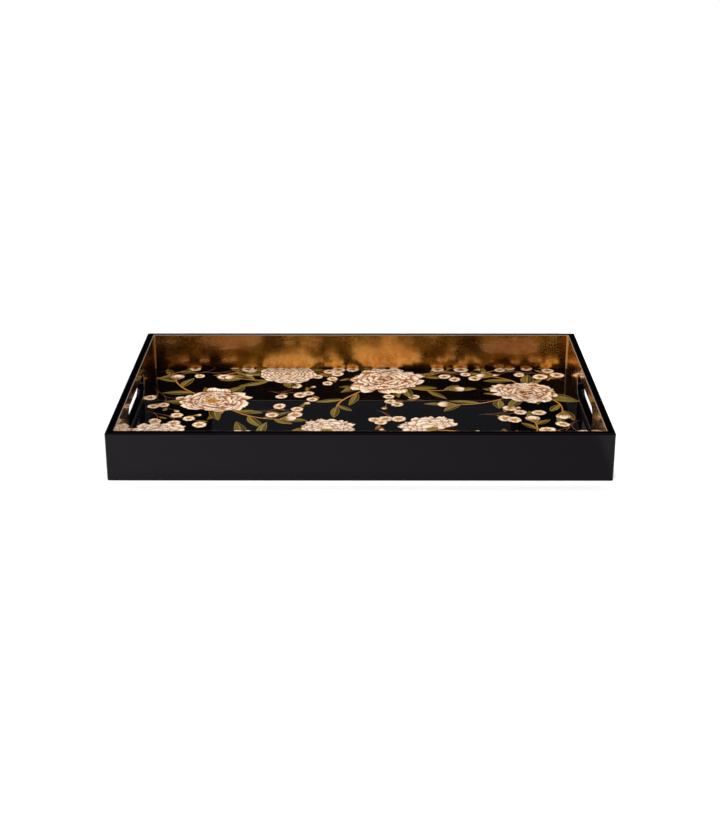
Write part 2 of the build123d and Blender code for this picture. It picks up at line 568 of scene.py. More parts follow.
def petal(place, base, angle, length, width, look, bend=0.0, round_tip=3.0, waist=0.75,
          ruffle=0.0, notch=0.0, phase=0.0, cast=1.0, tone=0.0, side=0.0, blunt=0.5):
    """One petal or leaf. Its outline is a half-width along its length, with a wavy end; look paints it."""
    bx, by = base
    ca, sa = math.cos(angle), math.sin(angle)
    reach = width * 0.62 + 2.0
    ends = []
    for u in (-0.06, 0.25, 0.5, 0.75, 1.12):
        for s in (-reach, reach):
            a = u * length
            b = s + bend * u * u * length
            ends.append((bx + a * ca - b * sa, by + a * sa + b * ca))
    pts = np.array(ends) @ place.m.T + place.o
    got = window(pts[:, 0].min() - 1.5, pts[:, 0].max() + 1.5, pts[:, 1].min() - 1.5, pts[:, 1].max() + 1.5)
    if got is None:
        return
    where, x, y = got
    dx, dy = x - place.o[0], y - place.o[1]
    lx = place.inv[0, 0] * dx + place.inv[0, 1] * dy - bx
    ly = place.inv[1, 0] * dx + place.inv[1, 1] * dy - by
    a = (lx * ca + ly * sa) / length
    b = (-lx * sa + ly * ca) / length - bend * a * a
    half = width / length / 2
    t0 = np.clip(b / half, -1.3, 1.3)
    wave = 1.0
    if ruffle:
        wave = 1 + ruffle * (0.5 * np.sin(t0 * 5.1 + phase) + 0.32 * np.sin(t0 * 9.7 + 2.3 * phase) + 0.18 * np.sin(t0 * 17 + 4.1 * phase))
    if notch:
        wave = wave - notch * np.exp(-((t0 / 0.22) ** 2))
    u = a / wave
    uc = np.clip(u, 1e-4, 1 - 1e-4)
    peak = (waist / (waist + blunt * round_tip)) ** (1 / round_tip)
    norm = peak ** waist * (1 - peak ** round_tip) ** blunt
    w = half * uc ** waist * (1 - uc ** round_tip) ** blunt / norm
    slope = w * (waist / uc - blunt * round_tip * uc ** (round_tip - 1) / (1 - uc ** round_tip))
    inside = (w - np.abs(b)) / np.sqrt(1 + np.clip(slope, -60, 60) ** 2)
    end = 0.985
    flat = half * end ** waist * (1 - end ** round_tip) ** blunt / norm
    beyond = np.hypot(np.maximum(np.abs(b) - np.where(u > 0.5, flat, 0), 0), np.where(u > 0.5, u - 1, u))
    inside = np.where(np.abs(b) > w, np.minimum(inside, half - np.abs(b)), inside)
    inside = np.where((u > 0) & (u < 1), inside, -beyond)
    d = inside * length * place.unit
    if cast:
        shade(where, np.exp(-np.clip(-d, 0, None) / 1.1) * (d < 0) * (u > 0.12) * 0.85 * cast)
    cover = np.clip(d / CELL + 0.5, 0, 1)
    t = b / np.maximum(w, 1e-4)
    lay(where, look(uc, np.clip(t, -1.2, 1.2), d, x, y, tone, side), cover)


def fibre(t, count, phase):
    """Fine lines that fan along a petal, from 0 to 1."""
    v = 0.5 + 0.5 * np.cos((t * count + 0.35 * np.sin(t * 7 + phase)) * math.pi + phase)
    return v


def warm_dark(c, k):
    """Shade towards brown: blue and green fall before red does."""
    return c * np.exp(-k[..., None] * np.array([0.62, 1.15, 1.55], np.float32))


def bloom_look(warm=0.0, lines=7.0, edge=0.55, hidden=0.0):
    tip_c = CREAM * (1 - warm) + IVORY * warm

    def look(u, t, d, x, y, tone, side):
        v = np.clip((u - hidden) / (1 - hidden), 0, 1)
        c = mix(ROSE + 0 * t[..., None], BLUSH, smooth(0.0, 0.34, v))
        c = mix(c, tip_c, smooth(0.10, 0.52, v + 0.07 * np.sin(t * 5 + side * 2 + tone * 9)))
        c = warm_dark(c, 0.50 * (1 - smooth(0.0, 0.30, v)) + 0.20 * smooth(0.15, 0.95, side * t) * (1 - 0.5 * v) + 0.12 * tone)
        reach = 0.58 + 0.42 * np.sin(t * 23 + tone * 31 + side) ** 2
        n = fibre(t, lines, tone * 9 + side)
        c = mix(c, LINE * 0.5 + RUST * 0.5, 0.88 * smooth(0.74, 0.95, n) * (1 - smooth(reach - 0.22, reach, v)) * smooth(0.25, 0.7, d))
        c = mix(c, tip_c, 0.55 * smooth(0.5, 1.0, d) * smooth(2.4, 1.2, d) * smooth(0.55, 0.8, v))
        return mix(c, LINE * 0.45 + RUST * 0.55, smooth(edge + 0.18, edge - 0.18, d) * 0.92)

    return look


def leaf_look(warm=0.35, veins=8.0, dark=0.0):
    def look(u, t, d, x, y, tone, side):
        c = mix(MOSS + 0 * t[..., None], OLIVE, smooth(-0.9, 0.6, t * side + 0.5 * (u - 0.5)))
        c = mix(c, SAGE, 0.55 * np.exp(-(((t - 0.42 * side) / 0.22) ** 2)) * smooth(0.05, 0.3, u) * (1 - smooth(0.62, 1, u)))
        c = mix(c, DEEP, 0.72 * np.exp(-(((t + 0.16 * side) / 0.17) ** 2)) * (1 - 0.4 * u))
        c = mix(c, DEEP, 0.35 * smooth(0.35, 0.95, -t * side))
        q = (u - 0.24 * np.abs(t) ** 1.3) * veins
        v = smooth(0.17, 0.05, np.abs(q - np.round(q))) * smooth(0.05, 0.2, np.abs(t)) * (1 - smooth(0.6, 0.95, np.abs(t)))
        c = mix(c, OCHRE * 0.45 + SAGE * 0.55, 0.42 * v)
        c = mix(c, AMBER * 0.45 + OCHRE * 0.55, 0.8 * warm * smooth(0.45, 0.9, t * side + 0.15 * np.sin(u * 9 + tone * 7)))
        c = mix(c, HONEY * 0.3 + OCHRE * 0.7, 0.9 * smooth(0.15, 0.05, np.abs(t) * (0.6 + 0.8 * u)) * (1 - smooth(0.82, 1, u)))
        c = mix(c, OCHRE * 0.8 + HONEY * 0.2, 0.78 * smooth(0.62, 0.22, d))
        return warm_dark(c, 0.28 * tone + dark + 0 * u)

    return look


def stroke(points, width0, width1, colour0, colour1, edge=None, cast=0.6):
    """A tapering line through points, with a lit side."""
    p = np.asarray(points, float)
    seg = np.linalg.norm(np.diff(p, axis=0), axis=1)
    s = np.concatenate([[0], np.cumsum(seg)])
    n = max(2, int(s[-1] / 1.2))
    q = np.linspace(0, s[-1], n + 1)
    px, py = np.interp(q, s, p[:, 0]), np.interp(q, s, p[:, 1])
    pad = max(width0, width1) + 2.0
    got = window(px.min() - pad, px.max() + pad, py.min() - pad, py.max() + pad)
    if got is None:
        return
    where, x, y = got
    best = np.full((y.shape[0], x.shape[1]), 1e3, np.float32)
    along = np.zeros_like(best)
    across = np.zeros_like(best)
    gx, gy = x[0], y[:, 0]
    for k in range(n):
        ax, ay, bx, by = px[k], py[k], px[k + 1], py[k + 1]
        i0, i1 = np.searchsorted(gx, [min(ax, bx) - pad, max(ax, bx) + pad])
        j0, j1 = np.searchsorted(gy, [min(ay, by) - pad, max(ay, by) + pad])
        if i0 >= i1 or j0 >= j1:
            continue
        wx, wy = gx[None, i0:i1], gy[j0:j1, None]
        vx, vy = bx - ax, by - ay
        ln = vx * vx + vy * vy + 1e-9
        h = np.clip(((wx - ax) * vx + (wy - ay) * vy) / ln, 0, 1)
        ex, ey = wx - ax - h * vx, wy - ay - h * vy
        dist = np.sqrt(ex * ex + ey * ey)
        f = (k + h) / n
        half = (width0 + (width1 - width0) * f) / 2
        sd = dist - half
        cur = best[j0:j1, i0:i1]
        hit = sd < cur
        cur[hit] = sd[hit]
        along[j0:j1, i0:i1][hit] = f[hit]
        sign = (vx * ey - vy * ex) / math.sqrt(ln) / np.maximum(half, 0.05)
        across[j0:j1, i0:i1][hit] = sign[hit]
    if cast:
        shade(where, np.exp(-np.clip(best, 0, None) / 0.8) * (best > 0) * 0.6 * cast)
    c = mix(colour0 + 0 * best[..., None], colour1, along)
    c = mix(c, c * 1.5 + 0.03, smooth(-0.1, 0.9, across))
    c = mix(c, c * 0.45, smooth(0.1, 0.9, -across))
    lay(where, c, np.clip(0.5 - best / CELL, 0, 1))


def dots(points, radius, colour, rim=None):
    for (cx, cy), r in zip(points, np.broadcast_to(radius, len(points))):
        got = window(cx - r - 1, cx + r + 1, cy - r - 1, cy + r + 1)
        if got is None:
            continue
        where, x, y = got
        d = r - np.sqrt((x - cx) ** 2 + (y - cy) ** 2)
        if rim is not None:
            lay(where, rim, np.clip((d + 0.3) / CELL + 0.5, 0, 1))
        lay(where, colour, np.clip(d / CELL + 0.5, 0, 1))


def bezier(p0, p1, p2, p3, n=28):
    t = np.linspace(0, 1, n)[:, None]
    p0, p1, p2, p3 = (np.asarray(p, float) for p in (p0, p1, p2, p3))
    return (1 - t) ** 3 * p0 + 3 * (1 - t) ** 2 * t * p1 + 3 * (1 - t) * t * t * p2 + t ** 3 * p3


def rosette(x, y, radius, turn, squash, squash_turn, warm, seed, lean=(0.0, 0.0), heart="folded"):
    """A full round bloom: rings of broad petals, each ring laid over the one outside it."""
    rng = np.random.default_rng(seed)
    p = Place(x, y, turn, 1.0, squash, squash_turn)
    rings = [(1.00, 8), (0.86, 8), (0.71, 7), (0.57, 6), (0.43, 5), (0.30, 5)]
    for k, (share, count) in enumerate(rings):
        r = radius * share
        nxt = rings[k + 1][0] if k + 1 < len(rings) else 0.19
        look = bloom_look(warm, lines=8.0, hidden=(0.93 if k else 0.80) * nxt / share)
        cx, cy = lean[0] * (1 - share) * radius, lean[1] * (1 - share) * radius
        start = rng.uniform(0, 6.283)
        for i in rng.permutation(count):
            a = start + 6.283 * i / count + rng.uniform(-0.14, 0.14)
            loose = k == 0
            petal(p, (cx, cy), a + (rng.uniform(-0.1, 0.1) if loose else 0), r * rng.uniform(0.80 if loose else 0.90, 1.14 if loose else 1.08),
                  2 * math.pi * r / count * rng.uniform(0.86 if loose else 1.08, 1.22 if loose else 1.36), look,
                  bend=rng.uniform(-0.16, 0.16), round_tip=rng.uniform(4.0, 7.0), waist=rng.uniform(0.8, 1.1),
                  ruffle=rng.uniform(0.03, 0.095), notch=rng.uniform(0.0, 0.13), phase=rng.uniform(0, 6.28),
                  tone=rng.uniform(0, 0.9), side=rng.choice([-1.0, 1.0]))
    cx, cy = lean[0] * 0.86 * radius, lean[1] * 0.86 * radius
    if heart == "folded":
        for k in range(6):
            a = rng.uniform(0, 6.283)
            r = radius * (0.20 - 0.02 * k)
            petal(p, (cx - 0.5 * r * math.cos(a), cy - 0.5 * r * math.sin(a)), a, r * 1.25, r * 1.3, bloom_look(warm, lines=4.0, hidden=0.45),
                  bend=rng.uniform(-0.3, 0.3), round_tip=4.0, waist=0.7, ruffle=0.04, phase=rng.uniform(0, 6.28),
                  tone=rng.uniform(0.2, 0.9), side=rng.choice([-1.0, 1.0]))
    else:
        root = np.array([cx, cy]) @ p.m.T + p.o
        dots([root], radius * 0.12, warm_dark(RUST, np.array(0.6)).reshape(3), None)
        for k in range(30):
            a = 6.283 * k / 30 + rng.uniform(-0.08, 0.08)
            r = radius * rng.uniform(0.12, 0.22)
            tip = np.array([cx + r * math.cos(a), cy + r * math.sin(a)]) @ p.m.T + p.o
            stroke([root, tip], 0.55, 0.45, RUST, AMBER, cast=0)
            dots([tip], rng.uniform(0.6, 0.9), HONEY, LINE)
        dots([root], radius * 0.055, OCHRE, LINE)


def cup(x, y, size, angle, warm, seed):
    """A half-open bloom seen from the side, on its calyx. (x, y) is where the stem meets it."""
    rng = np.random.default_rng(seed)
    p = Place(x, y)
    for da in (-1.15, 1.2, -0.75, 0.8):
        leaf(x, y, size * rng.uniform(0.45, 0.62), size * rng.uniform(0.13, 0.18), angle + da * 1.25, rng.uniform(-0.3, 0.3), int(rng.integers(1 << 30)), dark=0.1)
    rows = (
        (7, 0.80, 1.16, 0.40, 0.62), (6, 0.98, 1.00, 0.46, 0.55), (6, 0.72, 0.90, 0.44, 0.55),
        (5, 0.92, 0.72, 0.46, 0.45), (4, 0.52, 0.58, 0.44, 0.30), (3, 0.80, 0.42, 0.40, 0.10),
    )
    for count, fan, reach, wide, hidden in rows:
        look = bloom_look(warm, lines=7.0, hidden=hidden)
        spots = [(-1 + 2 * i / (count - 1)) for i in range(count)]
        for u in sorted(spots, key=lambda v: -abs(v) + rng.uniform(-0.25, 0.25)):
            a = angle + u * fan * 1.25 + rng.uniform(-0.06, 0.06)
            petal(p, (0, 0), a, size * reach * (1 - 0.16 * u * u) * rng.uniform(0.93, 1.07), size * wide * rng.uniform(0.9, 1.12), look,
                  bend=0.16 * u + rng.uniform(-0.06, 0.06), round_tip=rng.uniform(3.2, 5.0), waist=rng.uniform(0.8, 1.0),
                  ruffle=rng.uniform(0.02, 0.07), notch=rng.uniform(0, 0.10), phase=rng.uniform(0, 6.28),
                  tone=rng.uniform(0, 0.9), side=1.0 if u > 0 else -1.0)
    green = leaf_look(0.5, 3.0)
    for da in (0.95, -0.95, 0.45, -0.45, 0.0):
        petal(p, (0, 0), angle + da, size * rng.uniform(0.24, 0.30), size * 0.13, green, round_tip=1.15, waist=0.7, blunt=0.9, cast=0.5, tone=0.2,
              side=1.0 if da >= 0 else -1.0)


def pompon(x, y, radius, turn, squash, squash_turn, warm, seed):
    """A bloom of many narrow petals, in rings that shorten towards the middle."""
    rng = np.random.default_rng(seed)
    p = Place(x, y, turn, 1.0, squash, squash_turn)
    shares = [1.0, 0.87, 0.74, 0.61, 0.48, 0.35, 0.22]
    counts = [16, 16, 15, 13, 11, 8, 6]
    for k in range(7):
        share, count = shares[k], counts[k]
        r = radius * share
        look = bloom_look(warm, lines=3.0, edge=0.5, hidden=0.9 * (shares[k + 1] if k < 6 else 0.1) / share)
        start = (0.5 * (k % 2)) * 6.283 / count + rng.uniform(-0.03, 0.03)
        for i in rng.permutation(count):
            a = start + 6.283 * i / count + rng.uniform(-0.04, 0.04)
            petal(p, (0, 0), a, r * rng.uniform(0.95, 1.05), 2 * math.pi * r / count * 1.22, look, bend=rng.uniform(-0.05, 0.05),
                  round_tip=rng.uniform(2.4, 3.2), waist=1.9, blunt=0.55, cast=0.9,
                  tone=rng.uniform(0, 0.8), side=rng.choice([-1.0, 1.0]))
    root = np.array([0.0, 0.0]) @ p.m.T + p.o
    for k in range(22):
        a, r = rng.uniform(0, 6.283), radius * 0.10 * math.sqrt(rng.uniform(0, 1))
        dots([root + np.array([r * math.cos(a), r * math.sin(a)]) @ p.m.T], rng.uniform(0.55, 0.9), HONEY if k % 3 else OCHRE, LINE)


def blossom(x, y, radius, turn, seed, squash=1.0, squash_turn=0.0, count=5, heart=None):
    """A small open blossom with a ring of stamens."""
    rng = np.random.default_rng(seed)
    p = Place(x, y, turn, 1.0, squash, squash_turn)
    if heart is None:
        heart = LINE * 0.5 + SHADOW * 0.5 if y > 20 else OCHRE

    def look(u, t, d, x, y, tone, side):
        c = mix(ROSE + 0 * t[..., None], CREAM * 0.6 + IVORY * 0.4, smooth(0.22, 0.58, u))
        c = warm_dark(c, 0.28 * smooth(0.1, 0.9, side * t) + 0.15 * tone)
        c = mix(c, RUST, 0.7 * fibre(t, 4.0, side) ** 6 * (1 - smooth(0.35, 0.75, u)))
        return mix(c, RUST, 0.85 * smooth(0.50, 0.2, d))

    for i in rng.permutation(count):
        a = 6.283 * i / count + rng.uniform(-0.07, 0.07)
        petal(p, (0, 0), a, radius * rng.uniform(0.94, 1.05), radius * 6.283 / count * 0.92, look, bend=rng.uniform(-0.06, 0.06),
              round_tip=rng.uniform(4.0, 5.5), waist=0.9, notch=rng.uniform(0.04, 0.14), ruffle=0.02,
              phase=rng.uniform(0, 6), cast=0.7, side=rng.choice([-1.0, 1.0]), tone=rng.uniform(0, 0.8))
    dots([p.o], radius * (0.30 if y > 20 else 0.24), heart, RUST)
    for k in range(10):
        a = 6.283 * k / 10 + rng.uniform(-0.15, 0.15)
        r = radius * rng.uniform(0.28, 0.42)
        tip = np.array([r * math.cos(a), r * math.sin(a)]) @ p.m.T + p.o
        stroke([p.o, tip], 0.4, 0.32, RUST, RUST, cast=0)
        dots([tip], 0.5, HONEY, LINE)
    dots([p.o], radius * 0.11, RUST if y > 20 else HONEY * 0.4 + OCHRE * 0.6, None)


def bud(x, y, length, angle, seed, size=0.62):
    rng = np.random.default_rng(seed)
    p = Place(x, y)
    look = bloom_look(0.45, lines=6.0, edge=0.45)
    for da, ln, wd in ((0.20, 0.96, 0.8), (-0.22, 0.94, 0.8), (0.02, 1.0, 0.85)):
        petal(p, (0, 0), angle + da, length * ln, length * size * wd, look, round_tip=2.6, waist=0.7,
              cast=0.7, tone=rng.uniform(0.1, 0.6), side=1.0 if da > 0 else -1.0)
    green = leaf_look(0.5, 3.0)
    for da in (0.42, -0.42, 0.0):
        petal(p, (0, 0), angle + da, length * 0.55, length * 0.22, green, round_tip=1.15, waist=0.7, blunt=0.9, cast=0.5, tone=0.2,
              side=1.0 if da >= 0 else -1.0)


def leaf(x, y, length, width, angle, bend, seed, dark=0.0, cast=0.7):
    rng = np.random.default_rng(seed)
    look = leaf_look(rng.uniform(0.25, 0.6), rng.uniform(8, 11), dark)
    petal(Place(x, y), (0, 0), angle, length, width, look, bend=bend, round_tip=1.15, waist=rng.uniform(0.85, 1.05), blunt=rng.uniform(0.95, 1.15), cast=cast,
          ruffle=0.012, phase=rng.uniform(0, 6), tone=rng.uniform(0, 0.8), side=rng.choice([-1.0, 1.0]))


def leafy(points, width0, width1, leaves, seed, leaf_len=(30, 44), leaf_wide=(9, 13), spread=0.72, colour=(AMBER, OCHRE)):
    """A stem with leaves up both sides."""
    rng = np.random.default_rng(seed)
    p = np.asarray(points, float)
    n = len(p)
    stroke(p, width0, width1, colour[0], colour[1])
    for k in range(leaves):
        f = 0.12 + 0.84 * k / max(1, leaves - 1)
        i = min(n - 2, int(f * (n - 1)))
        tx, ty = p[i + 1] - p[i]
        a = math.atan2(ty, tx) + (1 if k % 2 else -1) * rng.uniform(0.8, 1.15) * spread
        ln = rng.uniform(*leaf_len) * (1.0 - 0.35 * f)
        leaf(p[i][0], p[i][1], ln, rng.uniform(*leaf_wide) * (1.0 - 0.25 * f), a, rng.uniform(-0.22, 0.22), seed * 31 + k)
    tx, ty = p[-1] - p[-3]
    leaf(p[-1][0], p[-1][1], rng.uniform(*leaf_len) * 0.8, rng.uniform(*leaf_wide) * 0.8, math.atan2(ty, tx), rng.uniform(-0.1, 0.1), seed * 31 + 77)


def spray(points, tips, seed, size=(8.5, 12.0), twig=1.0):
    """A bare twig with side shoots that end in blossoms, buds and small leaves."""
    rng = np.random.default_rng(seed)
    p = np.asarray(points, float)
    n = len(p)
    shoots = []
    for k in range(tips):
        f = 0.18 + 0.80 * k / max(1, tips - 1)
        i = min(n - 2, int(f * (n - 1)))
        t = p[i + 1] - p[i]
        a = math.atan2(t[1], t[0]) + (1 if k % 2 else -1) * rng.uniform(0.45, 1.0)
        ln = rng.uniform(13, 24)
        e = p[i] + ln * np.array([math.cos(a), math.sin(a)])
        m = p[i] + 0.55 * ln * np.array([math.cos(a - 0.35 * (1 if k % 2 else -1)), math.sin(a - 0.35 * (1 if k % 2 else -1))])
        shoots.append((p[i], m, e, a))
    stroke(p, 1.25 * twig, 0.6 * twig, BARK, TWIG)
    for root, m, e, a in shoots:
        stroke(bezier(root, m, m, e, 10), 0.75 * twig, 0.45 * twig, TWIG, TWIG)
        if rng.uniform() < 0.75:
            leaf(m[0], m[1], rng.uniform(8, 13), rng.uniform(3.4, 5.0), a + rng.uniform(-1.3, 1.3), rng.uniform(-0.2, 0.2), int(rng.integers(1 << 30)))
    for k, (root, m, e, a) in enumerate(shoots):
        if k % 4 == 3:
            bud(e[0], e[1], rng.uniform(7, 9), a, int(rng.integers(1 << 30)), 0.72)
        else:
            blossom(e[0], e[1], rng.uniform(*size), rng.uniform(0, 6), int(rng.integers(1 << 30)), rng.uniform(0.78, 1.0), rng.uniform(0, 3))
    e = p[-1]
    blossom(e[0], e[1], size[0], rng.uniform(0, 6), int(rng.integers(1 << 30)))


def paint():
    """The whole decoration: stems and leaves first, twigs of small blossoms, and the large blooms last."""
    blooms = (
        (26, 100, 42, 4), (-78, 119, 31, 4), (-148, 38, 35, 3), (172, 66, 34, 4),
        (-118, -88, 43, 5), (10, -98, 42, 5), (134, -96, 44, 5),
    )
    for k, (curve, w0, w1, leaves) in enumerate((
        (((22, 96), (-6, 56), (-22, 44), (-24, 22)), 2.4, 1.6, 4),
        (((22, 96), (54, 72), (66, 64), (92, 70)), 2.4, 1.3, 4),
        (((-74, 110), (-96, 96), (-112, 98), (-130, 106)), 2.2, 1.3, 4),
        (((-146, 36), (-176, 62), (-190, 76), (-196, 100)), 2.3, 1.3, 4),
        (((-146, 36), (-122, -4), (-104, -12), (-80, -14)), 2.5, 1.3, 5),
        (((170, 66), (142, 40), (124, 26), (96, 28)), 2.3, 1.3, 4),
        (((170, 66), (200, 44), (206, 32), (202, 6)), 2.4, 1.3, 4),
        (((170, 66), (168, 96), (158, 104), (138, 112)), 2.2, 1.3, 3),
        (((134, -96), (120, -52), (104, -44), (74, -42)), 2.5, 1.7, 3),
        (((134, -96), (168, -62), (176, -48), (172, -22)), 2.4, 1.3, 5),
        (((10, -98), (-18, -64), (-30, -58), (-34, -46)), 2.4, 1.6, 3),
        (((-118, -88), (-152, -60), (-172, -58), (-194, -58)), 2.4, 1.5, 4),
        (((-118, -88), (-96, -50), (-88, -44), (-62, -46)), 2.3, 1.3, 4),
        (((-118, -88), (-150, -106), (-168, -108), (-196, -100)), 2.3, 1.3, 4),
        (((10, -98), (-24, -112), (-40, -122), (-62, -116)), 2.3, 1.3, 4),
        (((10, -98), (44, -76), (52, -68), (58, -58)), 2.3, 1.3, 3),
        (((134, -96), (94, -112), (78, -118), (56, -128)), 2.3, 1.3, 3),
        (((134, -96), (174, -108), (190, -112), (210, -106)), 2.3, 1.3, 4),
    )):
        leafy(bezier(*curve), w0, w1, leaves, 11 + k)
    for k, (curve, leaves) in enumerate((
        (((-216, 104), (-206, 116), (-196, 124), (-184, 135)), 4),
        (((-150, 112), (-142, 120), (-130, 126), (-112, 134)), 3),
        (((-48, 116), (-38, 122), (-28, 128), (-12, 136)), 3),
        (((62, 108), (76, 116), (88, 124), (96, 136)), 4),
        (((116, 106), (122, 116), (134, 126), (152, 134)), 3),
        (((198, 100), (206, 112), (204, 124), (196, 136)), 3),
    )):
        leafy(bezier(*curve), 1.8, 1.2, leaves, 411 + k, (20, 28), (7, 10))
    for k, (curve, tips, size, twig) in enumerate((
        (((-52, 134), (-40, 126), (-34, 116), (-30, 104)), 4, (5.6, 7.2), 0.8),
        (((70, 132), (86, 126), (98, 116), (112, 118)), 5, (5.8, 7.6), 0.9),
        (((-218, 128), (-190, 126), (-160, 118), (-118, 130)), 8, (5.6, 7.6), 0.9),
        (((-214, 70), (-204, 58), (-196, 44), (-200, 26)), 4, (5.8, 7.4), 0.8),
        (((-96, 66), (-84, 60), (-72, 66), (-54, 60)), 5, (5.6, 7.6), 0.8),
        (((217, 96), (208, 112), (190, 122), (150, 132)), 9, (6.0, 8.2), 0.9),
        (((72, 40), (58, 34), (46, 44), (30, 36)), 4, (5.8, 7.6), 0.9),
        (((118, -2), (134, 6), (142, -4), (160, 6)), 5, (6.2, 8.0), 0.9),
        (((16, 10), (30, 4), (34, -12), (20, -22)), 4, (6.0, 7.8), 0.9),
        (((-112, 6), (-96, 14), (-84, 8), (-64, 14)), 4, (6.2, 8.0), 0.8),
        (((-214, 8), (-198, 0), (-188, -10), (-170, -12)), 5, (6.2, 8.2), 0.9),
        (((216, -16), (204, -24), (206, -40), (192, -52)), 5, (6.2, 8.4), 0.9),
        (((-70, -60), (-56, -70), (-52, -82), (-36, -84)), 4, (6.6, 8.6), 0.9),
        (((64, -84), (76, -78), (84, -64), (98, -66)), 4, (6.6, 8.6), 0.9),
        (((-216, -74), (-200, -80), (-192, -72), (-172, -80)), 4, (6.6, 8.6), 0.9),
        (((-178, -134), (-160, -126), (-146, -132), (-120, -130)), 5, (6.4, 8.4), 0.9),
        (((172, -134), (186, -126), (198, -132), (214, -126)), 4, (6.4, 8.4), 0.9),
        (((186, -76), (196, -70), (204, -74), (216, -66)), 3, (6.4, 8.4), 0.9),
    )):
        spray(bezier(*curve), tips, 131 + k, size, twig)
    for k, (x, y, a, length) in enumerate((
        (-196, 100, 1.5, 17), (92, 70, 0.3, 17), (96, 28, 3.1, 18), (-80, -14, 0.3, 17), (202, 6, -1.6, 18),
        (-62, -46, 0.1, 18), (-130, 106, 2.9, 15), (138, 112, 2.9, 15), (-62, -116, 3.0, 18), (56, -128, 3.5, 17), (172, -22, 1.7, 18),
    )):
        bud(x, y, length, a, 60 + k, 0.70)
    rng = np.random.default_rng(5)
    for x, y, r, k in blooms:
        start = rng.uniform(0, 6.283)
        for i in range(k):
            a = start + 6.283 * i / k + rng.uniform(-0.4, 0.4)
            leaf(x + 0.55 * r * math.cos(a), y + 0.55 * r * math.sin(a), r * rng.uniform(0.75, 1.05), rng.uniform(11, 15), a,
                 rng.uniform(-0.25, 0.25), int(rng.integers(1 << 30)), dark=0.15)
    rosette(-118, -88, 43, 2.2, 0.88, 0.6, 0.15, 107, (0.08, 0.10), heart="stamens")
    rosette(134, -96, 44, 0.9, 0.90, 2.4, 0.1, 108, (-0.05, 0.14))
    pompon(10, -98, 42, 0.4, 0.90, 1.2, 0.2, 105)
    for k, (x, y, r) in enumerate(((-24, 133, 7.4), (-9, 134, 6.8), (83, 134, 7.2), (108, 133, 7.6), (-122, 134, 7.0), (-34, 127, 6.2))):
        blossom(x, y, r, 0.7 * k, 900 + k)
    pompon(-78, 119, 31, 0.4, 0.90, 2.6, 0.1, 103)
    rosette(26, 100, 42, 0.3, 0.86, 0.2, 0.05, 101, (0.04, 0.14))
    rosette(-148, 38, 35, 1.1, 0.90, 2.4, 0.0, 102, (-0.08, 0.14), heart="stamens")
    rosette(172, 66, 34, 2.0, 0.86, 2.7, 0.1, 104, (-0.14, 0.10))
    cup(72, -42, 33, 2.15, 0.05, 111)
    cup(-34, -46, 30, 1.35, 0.1, 112)
    cup(-194, -58, 33, 2.2, 0.1, 113)


